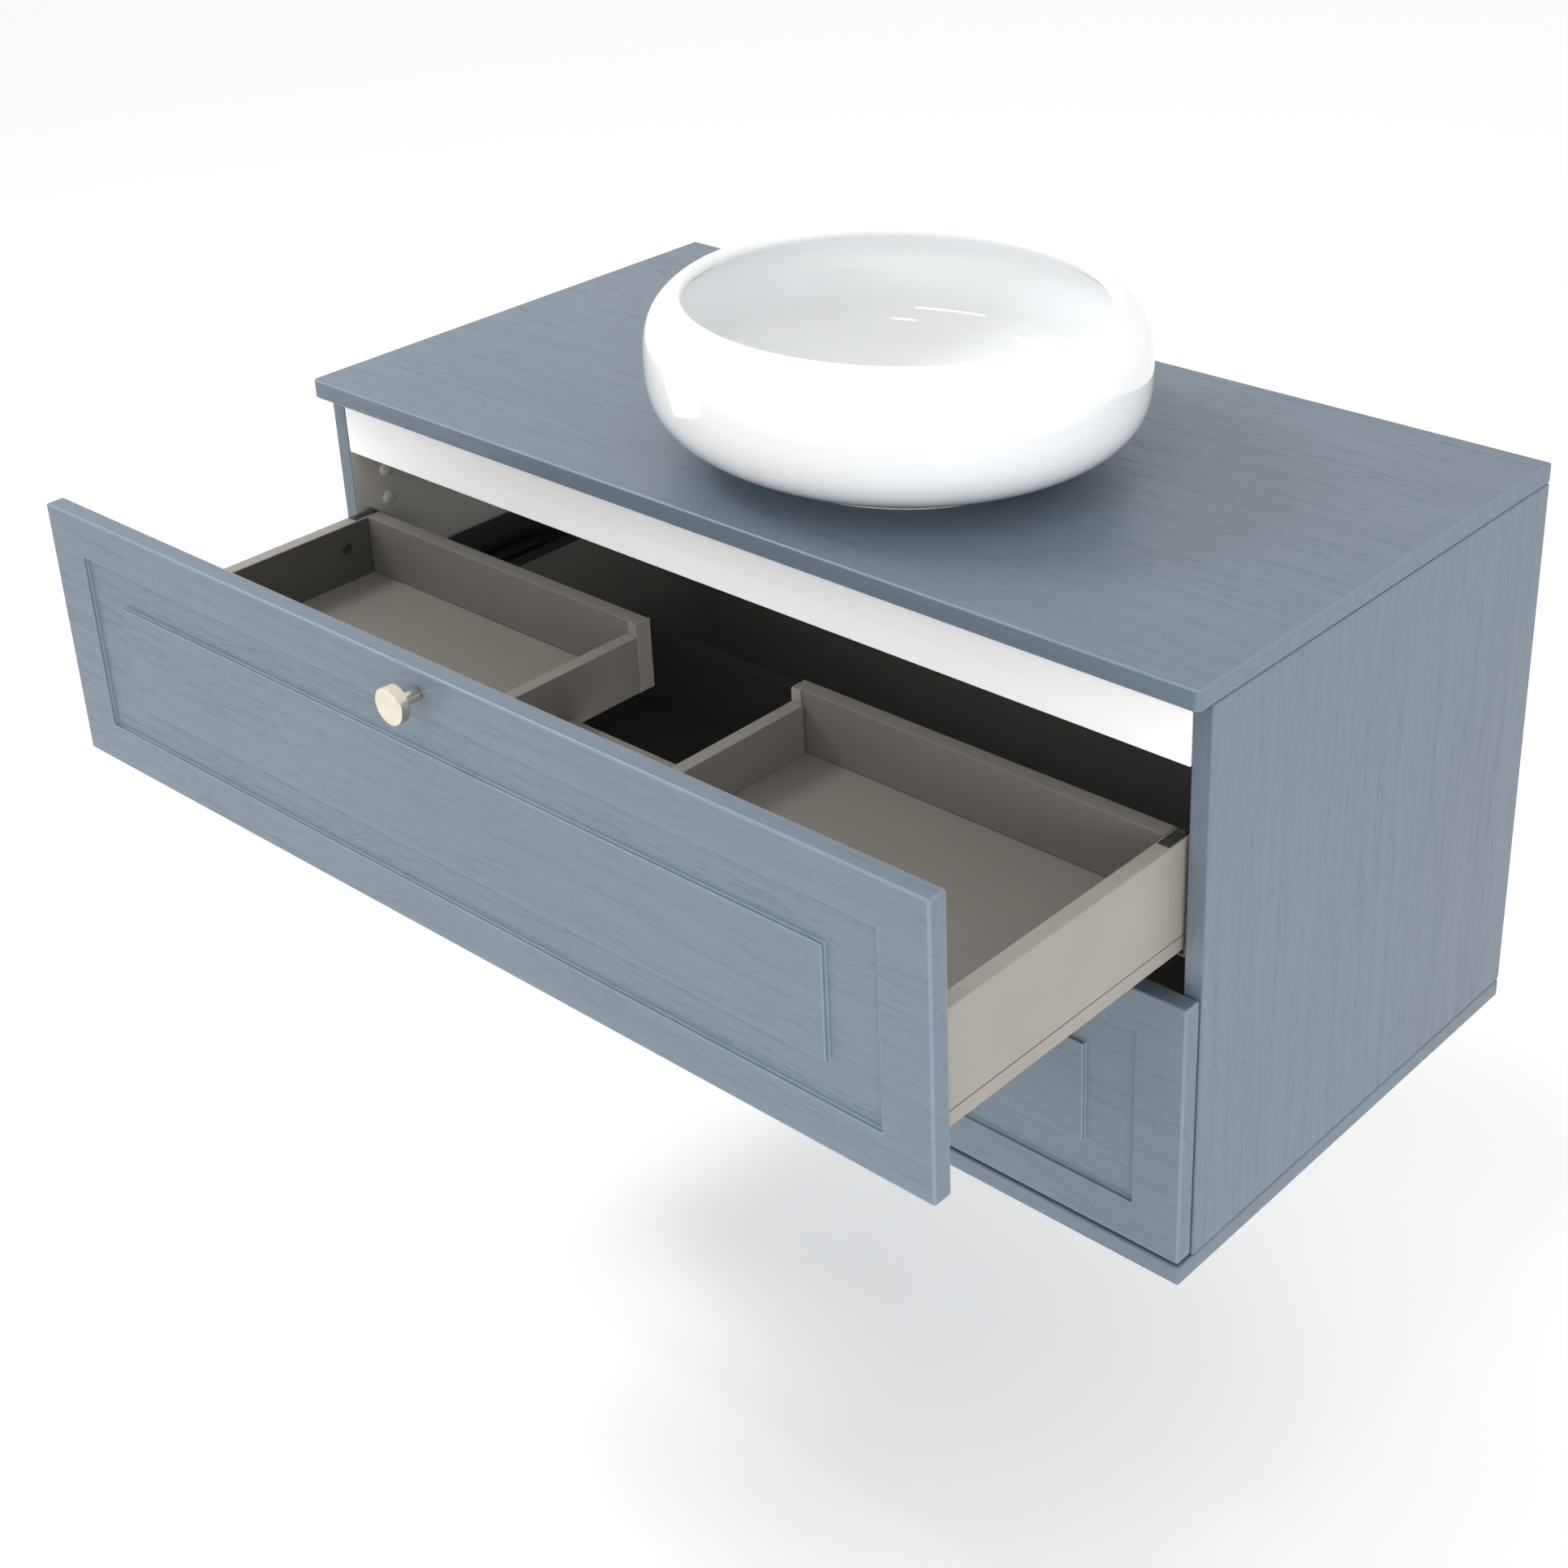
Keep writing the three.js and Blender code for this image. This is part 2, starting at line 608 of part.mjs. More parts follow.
// The outer wall up to the rim, a half-round lip, and the inner wall at an even thickness.
function basinProfile() {
  const outer = [];
  const steps = 44;
  for (let i = 0; i <= steps; i += 1) {
    const place = basinOutline((-Math.PI / 2) * (1 - (2 * i) / steps) * 0.97);
    const [r, z] = place.point;
    const onWall = z < basinWidestHeight ? r > basinFootRadius + 2 : r > basinRimRadius;
    if (onWall && z > 0.5) {
      outer.push(place);
    }
  }
  const end = outer[outer.length - 1];
  const lipRadius = basinWall / 2;
  const centre = end.point.map((value, i) => value - lipRadius * end.normal[i]);
  const startAngle = Math.atan2(end.normal[1], end.normal[0]);
  const lip = [];
  for (let i = 1; i < 7; i += 1) {
    const a = startAngle + (Math.PI * i) / 7;
    lip.push([centre[0] + lipRadius * Math.cos(a), centre[1] + lipRadius * Math.sin(a)]);
  }
  const inner = outer.map(({ point, normal }) => [
    point[0] - basinWall * normal[0],
    point[1] - basinWall * normal[1],
  ]);
  const bowl = inner.filter(([r, z]) => r > basinDrainRadius && z > basinDrainFloor + 2).reverse();
  const foot = [[0, 0], [basinFootRadius, 0]];
  const drain = [[basinDrainRadius, basinDrainFloor], [0, basinDrainFloor]];
  return [...foot, ...outer.map(({ point }) => point), ...lip, ...bowl, ...drain];
}

function basin() {
  const geometry = toGeometry(turned([...basinProfile(), [0, 0]], 60));
  geometry.scale(1, basinHalfDepth / basinHalfWidth, 1);
  geometry.translate(basinOffsetX, basinY, basinFoot);
  const start = [basinOffsetX, basinY, basinFoot - 5];
  return cut(geometry, bar(start, [0, 0, 1], basinDrainFloor + 10, wasteHoleDiameter));
}

// A flat ring about the vertical axis.
function washer(inner, outer, low, high, segments = 40) {
  const ring = [[inner, low], [outer, low], [outer, high], [inner, high], [inner, low]];
  return turned(ring, segments);
}

// Bead of sealant under the foot.
function sealant() {
  const low = contactGap;
  const high = sealantHeight - contactGap;
  const geometry = toGeometry(washer(basinFootRadius - sealantWidth, basinFootRadius, low, high, 60));
  geometry.scale(1, basinHalfDepth / basinHalfWidth, 1);
  geometry.translate(basinOffsetX, basinY, cabinetHeight);
  return geometry;
}

add('basin', basin(), ceramic);
add('basin_sealant', sealant(), plastic);

// ---- Waste ----
const drainTop = basinFoot + basinDrainFloor;
const flangeTop = drainTop + contactGap + wasteFlangeThickness;
const slabUnder = cabinetHeight - topThickness;
const bodyBottom = slabUnder - wasteBodyDrop;
const threadRadius = wasteTubeDiameter / 2 + wasteThreadGap;

function addAtWaste(name, solid, material) {
  const geometry = toGeometry(solid);
  geometry.translate(basinOffsetX, basinY, 0);
  add(name, geometry, material);
}

// Flanged tube with a bridge across it that guides the plug's stem.
function wasteBody() {
  const outer = wasteTubeDiameter / 2;
  const inner = outer - wasteTubeWall;
  const flange = wasteFlangeDiameter / 2;
  const flangeLow = drainTop + contactGap;
  const tube = turned([
    [inner, bodyBottom],
    [outer, bodyBottom],
    [outer, flangeLow],
    [flange, flangeLow],
    [flange, flangeTop - 1],
    [flange - 1.5, flangeTop],
    [inner + 2, flangeTop],
    [inner, flangeTop - 2],
    [inner, bodyBottom],
  ], 40);
  const high = flangeTop - wasteBridgeDrop;
  const low = high - wasteBridgeThickness;
  const half = wasteBridgeWidth / 2;
  const bridge = toSolid(block([-inner - 1, -half, low], [inner + 1, half, high]));
  const boss = toSolid(bar([0, 0, low], [0, 0, 1], wasteBridgeThickness, wasteBossDiameter, 24));
  const boreDiameter = wasteStemDiameter + 2 * wasteStemClearance;
  const bore = toSolid(bar([0, 0, low - 1], [0, 0, 1], wasteBridgeThickness + 2, boreDiameter, 32));
  return tube.add(bridge).add(boss).subtract(bore);
}

// Domed push-open plug on its stem, shown lifted.
function wastePlug() {
  const under = flangeTop + wastePlugLift;
  const rim = wastePlugDiameter / 2;
  const stem = wasteStemDiameter / 2;
  return turned([
    [0, under - wasteStemLength],
    [stem, under - wasteStemLength],
    [stem, under],
    [rim - 1, under],
    [rim, under + 1],
    [rim - 0.5, under + 2],
    [rim * 0.6, under + wastePlugThickness - 0.6],
    [0, under + wastePlugThickness],
  ], 32);
}

// Twelve-sided backing nut.
function wasteNut(low) {
  const body = toSolid(bar([0, 0, low], [0, 0, 1], wasteNutHeight, wasteNutDiameter, 12));
  return body.subtract(washer(0, threadRadius, low - 1, low + wasteNutHeight + 1));
}

const washerHigh = slabUnder - contactGap;
const washerLow = washerHigh - wasteWasherHeight;
const nutHigh = washerLow - contactGap;
addAtWaste('waste_body', wasteBody(), chrome);
addAtWaste('waste_plug', wastePlug(), chrome);
const washerRadius = wasteNutDiameter / 2 - 1;
addAtWaste('waste_washer', washer(threadRadius, washerRadius, washerLow, washerHigh), rubber);
addAtWaste('waste_nut', wasteNut(nutHigh - wasteNutHeight), chrome);
const tailHigh = bodyBottom - contactGap;
const tailRadius = tailDiameter / 2;
const tail = washer(tailRadius - tailWall, tailRadius, tailHigh - tailLength, tailHigh);
addAtWaste('waste_tail', tail, chrome);

// The wall rail's middle becomes the origin.
vanity.position.z = -(sideTop - wallRailHeight / 2);
vanity.updateMatrixWorld(true);

export default vanity;
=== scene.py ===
# A wall-hung bathroom vanity with two drawers and an oval basin standing on its top slab.
import math

import bmesh
import bpy
from mathutils import Matrix, Vector


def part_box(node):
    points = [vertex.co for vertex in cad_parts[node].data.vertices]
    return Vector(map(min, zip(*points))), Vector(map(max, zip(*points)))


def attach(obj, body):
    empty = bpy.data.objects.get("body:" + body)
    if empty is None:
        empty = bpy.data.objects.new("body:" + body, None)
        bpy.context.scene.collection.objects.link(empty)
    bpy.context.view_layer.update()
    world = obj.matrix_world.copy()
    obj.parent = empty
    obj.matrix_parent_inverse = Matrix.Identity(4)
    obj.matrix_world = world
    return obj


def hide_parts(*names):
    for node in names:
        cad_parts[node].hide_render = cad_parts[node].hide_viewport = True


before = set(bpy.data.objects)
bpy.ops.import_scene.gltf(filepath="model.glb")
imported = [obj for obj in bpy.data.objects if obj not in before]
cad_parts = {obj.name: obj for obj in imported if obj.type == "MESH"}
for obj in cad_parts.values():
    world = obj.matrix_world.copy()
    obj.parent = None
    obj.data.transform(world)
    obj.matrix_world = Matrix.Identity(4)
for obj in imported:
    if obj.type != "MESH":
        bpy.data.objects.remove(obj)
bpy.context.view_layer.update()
scene = bpy.context.scene

# ---- Camera, light and floor ----
# The vanity is seen from above and from the right, through a slightly long lens. The light
# is a pale room with soft windows to the right, high on the left and in front, and three
# small lamps that glint in the basin.
camera_data = bpy.data.cameras.new("camera")
camera_data.lens = 56.9
camera_data.shift_x = -0.03
camera_data.shift_y = -0.10
camera_data.clip_end = 50
camera = bpy.data.objects.new("camera", camera_data)
camera.matrix_world = Matrix(
    (
        (0.7428, -0.2780, 0.6091, 1.2096),
        (0.6686, 0.3550, -0.6534, -1.6093),
        (-0.0346, 0.8926, 0.4496, 0.8006),
        (0, 0, 0, 1),
    )
)
scene.collection.objects.link(camera)
scene.camera = camera
scene.view_settings.view_transform = "Standard"

room = bpy.data.worlds.new("pale_room")
room.use_nodes = True
room.node_tree.nodes["Background"].inputs["Color"].default_value = (1, 1, 1, 1)
room.node_tree.nodes["Background"].inputs["Strength"].default_value = 1.0
scene.world = room


def soft_light(name, place, target, width, height, power):
    data = bpy.data.lights.new(name, "AREA")
    data.shape = "RECTANGLE"
    data.size = width
    data.size_y = height
    data.energy = power
    light = bpy.data.objects.new(name, data)
    light.location = place
    light.rotation_euler = (Vector(target) - Vector(place)).to_track_quat("-Z", "Y").to_euler()
    scene.collection.objects.link(light)


soft_light("window", (2.6, -1.7, 0.10), (0, -0.4, -0.1), 1.8, 1.2, 28)
soft_light("high_window", (-1.7, -1.0, 1.9), (-0.2, -0.5, 0), 0.7, 0.7, 27)
soft_light("front_window", (0.1, -2.9, 0.85), (0, -0.2, -0.02), 1.6, 0.5, 13)
for number, spread in enumerate((-0.16, 0.0, 0.13)):
    soft_light(f"lamp_{number}", (0.5 + spread, -1.7, 2.3), (0.042, -0.3, 0.14), 0.07, 0.07, 1.6)

floor_reach = 6
floor_height = -0.80
bm = bmesh.new()
bmesh.ops.create_grid(bm, x_segments=1, y_segments=1, size=floor_reach)
bmesh.ops.translate(bm, verts=bm.verts, vec=(0, 0, floor_height))
floor_mesh = bpy.data.meshes.new("floor")
bm.to_mesh(floor_mesh)
bm.free()
floor = bpy.data.objects.new("floor", floor_mesh)
floor_paint = bpy.data.materials.new("pale_floor")
floor_paint.use_nodes = True
floor_shader = floor_paint.node_tree.nodes["Principled BSDF"]
floor_shader.inputs["Base Color"].default_value = (0.95, 0.95, 0.95, 1)
floor_shader.inputs["Roughness"].default_value = 0.9
floor_mesh.materials.append(floor_paint)
scene.collection.objects.link(floor)


# ---- Top slab ----
# A 16 mm board with an open-pored wood face under satin blue-grey paint. Its front corners
# are slightly rounded, and it is bored for the basin's waste.
MM = 0.001
tolerance = 0.1 * MM
slab_corner_radius = 5 * MM
slab_edge_radius = 1.6 * MM
waste_hole_radius = 23 * MM


def add_node(tree, kind, inputs, **settings):
    node = tree.nodes.new(kind)
    for key, value in settings.items():
        setattr(node, key, value)
    for key, value in inputs.items():
        if isinstance(value, bpy.types.NodeSocket):
            tree.links.new(value, node.inputs[key])
        else:
            node.inputs[key].default_value = value
    return node


def noise(tree, vector, scale, detail=2.0, roughness=0.5):
    inputs = {"Vector": vector, "Scale": scale, "Detail": detail, "Roughness": roughness}
    return add_node(tree, "ShaderNodeTexNoise", inputs).outputs["Fac"]


def scaled(tree, vector, factors):
    return add_node(tree, "ShaderNodeVectorMath", {0: vector, 1: factors}, operation="MULTIPLY").outputs[0]


def remap(tree, value, low, high, to_low=0.0, to_high=1.0):
    inputs = {"Value": value, "From Min": low, "From Max": high, "To Min": to_low, "To Max": to_high}
    return add_node(tree, "ShaderNodeMapRange", inputs).outputs["Result"]


def calculate(tree, operation, first, second):
    return add_node(tree, "ShaderNodeMath", {0: first, 1: second}, operation=operation).outputs[0]


def blend_colours(tree, factor, first, second):
    node = add_node(tree, "ShaderNodeMix", {0: factor, 6: first, 7: second}, data_type="RGBA")
    return node.outputs[2]


def shaded(colour, share):
    return [channel * share for channel in colour[:3]] + [1]


def colour_between(tree, shader, mask, first, second):
    tree.links.new(blend_colours(tree, mask, first, second), shader.inputs["Base Color"])


def raise_texture(tree, shader, height, strength, distance):
    bump = add_node(tree, "ShaderNodeBump", {"Strength": strength, "Distance": distance, "Height": height})
    tree.links.new(bump.outputs["Normal"], shader.inputs["Normal"])


def new_group(name, sockets):
    tree = bpy.data.node_groups.new(name, "ShaderNodeTree")
    for label, direction, kind in sockets:
        tree.interface.new_socket(label, in_out=direction, socket_type=kind)
    start = tree.nodes.new("NodeGroupInput")
    end = tree.nodes.new("NodeGroupOutput")
    return tree, start, end


def new_finish(name, roughness=0.5, metallic=0.0, **constants):
    material = bpy.data.materials.new(name)
    material.use_nodes = True
    tree = material.node_tree
    shader = tree.nodes["Principled BSDF"]
    shader.inputs["Roughness"].default_value = roughness
    shader.inputs["Metallic"].default_value = metallic
    for key, value in constants.items():
        shader.inputs[key.replace("_", " ")].default_value = value
    place = add_node(tree, "ShaderNodeTexCoord", {}).outputs["Object"]
    return material, tree, shader, place


def wood_pore_group():
    """Long open pores along X in bands of early wood, bent a little as a grown board's are."""
    sockets = [
        ("Vector", "INPUT", "NodeSocketVector"),
        ("Pores", "OUTPUT", "NodeSocketFloat"),
        ("Bands", "OUTPUT", "NodeSocketFloat"),
        ("Cloud", "OUTPUT", "NodeSocketFloat"),
    ]
    tree, start, end = new_group("wood_pores", sockets)
    vector = start.outputs["Vector"]
    bend = noise(tree, scaled(tree, vector, (2.2, 6, 6)), 1.0, 3.0, 0.6)
    drift = remap(tree, bend, 0.0, 1.0, -0.022, 0.022)
    offset = add_node(tree, "ShaderNodeCombineXYZ", {"Y": drift, "Z": drift}).outputs[0]
    bent = add_node(tree, "ShaderNodeVectorMath", {0: vector, 1: offset}, operation="ADD").outputs[0]
    bands = remap(tree, noise(tree, scaled(tree, bent, (2.0, 130, 130)), 1.0, 2.0, 0.6), 0.38, 0.66)
    fine = remap(tree, noise(tree, scaled(tree, bent, (55, 1150, 1150)), 1.0, 1.0, 0.5), 0.57, 0.68)
    long = remap(tree, noise(tree, scaled(tree, bent, (12, 620, 620)), 1.0, 2.0, 0.5), 0.56, 0.67)
    short = calculate(tree, "MULTIPLY", fine, remap(tree, bands, 0, 1, 0.25, 1.0))
    deep = calculate(tree, "MULTIPLY", long, bands)
    pores = calculate(tree, "MAXIMUM", short, calculate(tree, "MULTIPLY", deep, 0.9))
    tree.links.new(pores, end.inputs["Pores"])
    tree.links.new(bands, end.inputs["Bands"])
    tree.links.new(noise(tree, vector, 7.0, 3.0, 0.6), end.inputs["Cloud"])
    return tree


wood_pores = wood_pore_group()


def painted_wood(name, turn, light, dark, depth):
    """Satin paint that has sunk into the pores, grain along X before the turn."""
    material, tree, shader, place = new_finish(name, 0.38)
    turned_place = add_node(tree, "ShaderNodeMapping", {"Vector": place, "Rotation": turn}).outputs[0]
    grain = add_node(tree, "ShaderNodeGroup", {"Vector": turned_place}, node_tree=wood_pores)
    pores, bands, cloud = (grain.outputs[key] for key in ("Pores", "Bands", "Cloud"))
    tone = blend_colours(tree, remap(tree, cloud, 0.3, 0.7), light, shaded(light, 0.94))
    streaked = blend_colours(tree, remap(tree, bands, 0, 1, 0.0, 0.12), tone, dark)
    colour_between(tree, shader, remap(tree, pores, 0, 1, 0, 0.34), streaked, dark)
    tree.links.new(remap(tree, pores, 0, 1, 0.36, 0.56), shader.inputs["Roughness"])
    film = noise(tree, place, 900, 2.0)
    height = calculate(tree, "SUBTRACT", calculate(tree, "MULTIPLY", film, 0.12), pores)
    raise_texture(tree, shader, height, 0.55, depth)
    return material


paint_light = (0.123, 0.166, 0.207, 1)
paint_dark = (0.073, 0.109, 0.145, 1)
paint_across = painted_wood("blue_paint_across", (0, 0, 0), paint_light, paint_dark, 0.35 * MM)
paint_upright = painted_wood("blue_paint_upright", (0, math.pi / 2, 0), paint_light, paint_dark, 0.4 * MM)
# A lighter copy of the paint for rounded edges: a painted highlight along them.
painted_edge_highlight = painted_wood("blue_painted_edge_highlight", (0, 0, 0), (0.160, 0.212, 0.262, 1), paint_light, 0.2 * MM)


def finish_piece(name, bm, materials, body, slot, *nodes):
    """The bmesh as a piece with even shading, riding on its body in place of CAD nodes."""
    mesh = bpy.data.meshes.new(name)
    bm.to_mesh(mesh)
    bm.free()
    for material in materials:
        mesh.materials.append(material)
    mesh.shade_smooth()
    mesh.set_sharp_from_angle(angle=math.radians(36))
    piece = bpy.data.objects.new(name, mesh)
    scene.collection.objects.link(piece)
    piece.modifiers.new("even_shading", "WEIGHTED_NORMAL").keep_sharp = True
    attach(piece, body)
    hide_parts(*nodes)
    return piece


def round_edges(bm, edges, radius, segments=3, material=-1):
    bmesh.ops.bevel(
        bm, geom=list(edges), offset=radius, affect="EDGES", segments=segments, profile=0.5,
        material=material, clamp_overlap=True,
    )


def sharp_edges(bm):
    """The edges where two faces turn away from each other by more than one radian."""
    return [e for e in bm.edges if len(e.link_faces) == 2 and e.calc_face_angle() > 1]


def carry(bm, faces, offset):
    """Extrudes the faces by offset. The faces that they leave stay where they are."""
    carried = bmesh.ops.extrude_face_region(bm, geom=faces)
    moved = [v for v in carried["geom"] if isinstance(v, bmesh.types.BMVert)]
    bmesh.ops.translate(bm, verts=moved, vec=offset)


low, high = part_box("countertop")
drain_x, drain_y = ((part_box("waste_body")[0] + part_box("waste_body")[1]) / 2)[:2]
bm = bmesh.new()
corners = [(low.x, low.y), (high.x, low.y), (high.x, high.y), (low.x, high.y)]
rim = [bm.verts.new((x, y, high.z)) for x, y in corners]
for pair in zip(rim, rim[1:] + rim[:1]):
    bm.edges.new(pair)
hole_place = Matrix.Translation((drain_x, drain_y, high.z))
bmesh.ops.create_circle(bm, segments=48, radius=waste_hole_radius, matrix=hole_place)
filled = bmesh.ops.triangle_fill(bm, edges=bm.edges[:], use_beauty=True, normal=(0, 0, 1))
top_faces = [f for f in filled["geom"] if isinstance(f, bmesh.types.BMFace)]
carry(bm, top_faces, (0, 0, low.z - high.z))
bmesh.ops.recalc_face_normals(bm, faces=bm.faces[:])
upright = [e for e in bm.edges if abs(e.verts[0].co.z - e.verts[1].co.z) > tolerance]
front_corners = [e for e in upright if e.verts[0].co.y < low.y + tolerance]
round_edges(bm, front_corners, slab_corner_radius, 4)
drain_point = Vector((drain_x, drain_y))
outer_edges = [
    e for e in sharp_edges(bm)
    if max((v.co.xy - drain_point).length for v in e.verts) > 2 * waste_hole_radius
]
# The rounded outer edges take the lighter paint, a painted highlight along them.
round_edges(bm, outer_edges, slab_edge_radius, 3, 1)
finish_piece("slab", bm, [paint_across, painted_edge_highlight], "cabinet", "blue_paint", "countertop")


# ---- Base board ----
# The same painted board, closing the cabinet from below. Its front edge is flush with the
# lower drawer's front when that is shut.
def plain_board(low, high):
    bm = bmesh.new()
    matrix = Matrix.Translation((low + high) / 2) @ Matrix.Diagonal((*(high - low), 1))
    bmesh.ops.create_cube(bm, size=1, matrix=matrix)
    return bm


def rounded_board(low, high, radius, segments=3):
    bm = plain_board(low, high)
    round_edges(bm, bm.edges, radius, segments)
    return bm


bm = rounded_board(*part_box("base_panel"), 2.2 * MM)
finish_piece("base_board", bm, [paint_across], "cabinet", "blue_paint", "base_panel")


# ---- Side panels ----
# Boards that stand between slab and base. They are painted outside and on the edges with
# the grain upright, and faced inside with a warm grey laminate.
def roughness_between(tree, shader, mask, low, high):
    tree.links.new(remap(tree, mask, 0.3, 0.7, low, high), shader.inputs["Roughness"])


def laminate(name, light, dark, roughness):
    """Printed melamine: an even tone with a faint cloud and a fine pearly texture."""
    material, tree, shader, place = new_finish(name, roughness)
    cloud = noise(tree, place, 9.0, 3.0, 0.6)
    speck = noise(tree, place, 1400, 2.0)
    broad = remap(tree, cloud, 0.3, 0.7, 0, 0.7)
    tone = calculate(tree, "ADD", broad, remap(tree, speck, 0.4, 0.6, 0, 0.3))
    colour_between(tree, shader, tone, light, dark)
    roughness_between(tree, shader, cloud, roughness - 0.04, roughness + 0.06)
    raise_texture(tree, shader, speck, 0.25, 0.1 * MM)
    return material


sides = (("left", -1), ("right", 1))
pale_laminate = laminate("pale_grey_laminate", (0.50, 0.475, 0.435, 1), (0.485, 0.46, 0.42, 1), 0.5)
for side, sign in sides:
    low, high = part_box(f"side_panel_{side}")
    bm = rounded_board(low, high, 1.6 * MM)
    for face in bm.faces:
        face.material_index = 1 if face.normal.x * sign < -0.9 else 0
    coats = [paint_upright, pale_laminate]
    finish_piece(f"cabinet_side_{side}", bm, coats, "cabinet", "blue_paint", f"side_panel_{side}")


# ---- Back board, wall rail and front rail ----
# Laminated boards between the sides. The white rail ties the sides together under the
# slab, and the rail at the back is the one that the cabinet hangs by.
white_laminate = laminate("white_laminate", (0.95, 0.95, 0.94, 1), (0.93, 0.93, 0.92, 1), 0.42)
bm = rounded_board(*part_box("back_panel"), 0.6 * MM, 2)
finish_piece("back_board", bm, [pale_laminate], "cabinet", "dark_board", "back_panel")
bm = rounded_board(*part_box("wall_rail"), 0.8 * MM, 2)
finish_piece("hanging_rail", bm, [pale_laminate], "cabinet", "dark_board", "wall_rail")
bm = rounded_board(*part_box("front_rail"), 0.9 * MM, 2)
finish_piece("top_rail", bm, [white_laminate], "cabinet", "white_laminate", "front_rail")


# ---- Screw caps ----
# Milky plastic caps, slightly domed and pressed in, that hide screws. Two sit one above
# the other on the inner face of each side.
def moulded_plastic(name, colour, roughness, **constants):
    material, tree, shader, place = new_finish(name, roughness, **constants)
    cloud = noise(tree, place, 160, 2.0)
    colour_between(tree, shader, remap(tree, cloud, 0.35, 0.65), colour, shaded(colour, 0.86))
    grit = noise(tree, place, 2600, 1.0)
    roughness_between(tree, shader, grit, roughness - 0.05, roughness + 0.08)
    raise_texture(tree, shader, grit, 0.2, 0.1 * MM)
    return material


milky_plastic = moulded_plastic("milky_plastic", (0.62, 0.61, 0.58, 1), 0.3)


def turned(profile, steps=48):
    """Spins (radius, height) points about Z. Ends on the axis are merged into closed poles."""
    bm = bmesh.new()
    points = [bm.verts.new((radius, 0, height)) for radius, height in profile]
    edges = [bm.edges.new(pair) for pair in zip(points, points[1:])]
    bmesh.ops.spin(
        bm, geom=points + edges, cent=(0, 0, 0), axis=(0, 0, 1), dvec=(0, 0, 0), angle=2 * math.pi,
        steps=steps, use_merge=True, use_duplicate=False,
    )
    bmesh.ops.remove_doubles(bm, verts=bm.verts[:], dist=1e-6)
    bmesh.ops.recalc_face_normals(bm, faces=bm.faces[:])
    return bm


def aim(bm, place, direction):
    turn = Vector((0, 0, 1)).rotation_difference(Vector(direction)).to_matrix().to_4x4()
    bmesh.ops.transform(bm, matrix=Matrix.Translation(place) @ turn, verts=bm.verts[:])
    return bm


for side, sign in sides:
    for place in ("upper", "lower"):
        low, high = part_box(f"screw_cap_{side}_{place}")
        middle = (low + high) / 2
        middle.x = low.x if sign < 0 else high.x
        radius = (high.z - low.z) / 2
        rise = high.x - low.x
        profile = [
            (0, 0), (radius, 0), (radius, 0.3 * rise), (0.93 * radius, 0.62 * rise),
            (0.7 * radius, 0.84 * rise), (0.35 * radius, 0.97 * rise), (0, rise),
        ]
        bm = aim(turned(profile, 32), middle, (-sign, 0, 0))
        node = f"screw_cap_{side}_{place}"
        finish_piece(f"cap_{side}_{place}", bm, [milky_plastic], "cabinet", "clear_plastic", node)


# ---- Drawer fronts ----
# A painted board with a frame, a shallow sunk channel and a raised field, milled in one
# piece. The paint rounds every edge a little, and the rounded edges take a lighter paint
# that is a painted highlight.
def slice_at(bm, place, normal):
    everything = bm.verts[:] + bm.edges[:] + bm.faces[:]
    bmesh.ops.bisect_plane(bm, geom=everything, plane_co=place, plane_no=normal)


def drawer_front(name, node, body):
    low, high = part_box(node)
    bm = plain_board(low, high)
    stile = 41 * MM
    rail = 35 * MM
    channel_width = 44 * MM
    channel_height = 31 * MM
    channel_depth = 3.5 * MM
    outer = (low.x + stile, high.x - stile, low.z + rail, high.z - rail)
    inner = (
        outer[0] + channel_width, outer[1] - channel_width,
        outer[2] + channel_height, outer[3] - channel_height,
    )
    for x in (outer[0], inner[0], inner[1], outer[1]):
        slice_at(bm, (x, 0, 0), (1, 0, 0))
    for z in (outer[2], inner[2], inner[3], outer[3]):
        slice_at(bm, (0, 0, z), (0, 0, 1))
    channel = []
    for face in bm.faces:
        x, y, z = face.calc_center_median()
        in_outer = outer[0] < x < outer[1] and outer[2] < z < outer[3]
        in_inner = inner[0] < x < inner[1] and inner[2] < z < inner[3]
        if abs(y - low.y) < tolerance and in_outer and not in_inner:
            channel.append(face)
    carry(bm, channel, (0, channel_depth, 0))
    bmesh.ops.delete(bm, geom=channel, context="FACES")
    bmesh.ops.recalc_face_normals(bm, faces=bm.faces[:])
    border = 10 * MM

    def milled(edge):
        x, y, z = edge.verts[0].co
        return low.x + border < x < high.x - border and low.z + border < z < high.z - border

    # Both sets of rounded edges take the lighter paint, a painted highlight.
    round_edges(bm, [e for e in sharp_edges(bm) if milled(e)], 1.1 * MM, 3, 1)
    round_edges(bm, [e for e in sharp_edges(bm) if not milled(e)], 1.8 * MM, 3, 1)
    finish_piece(name, bm, [paint_across, painted_edge_highlight], body, "blue_paint", node)


drawer_front("upper_door", "upper_front", "upper_drawer")
drawer_front("lower_door", "lower_front", "lower_drawer")


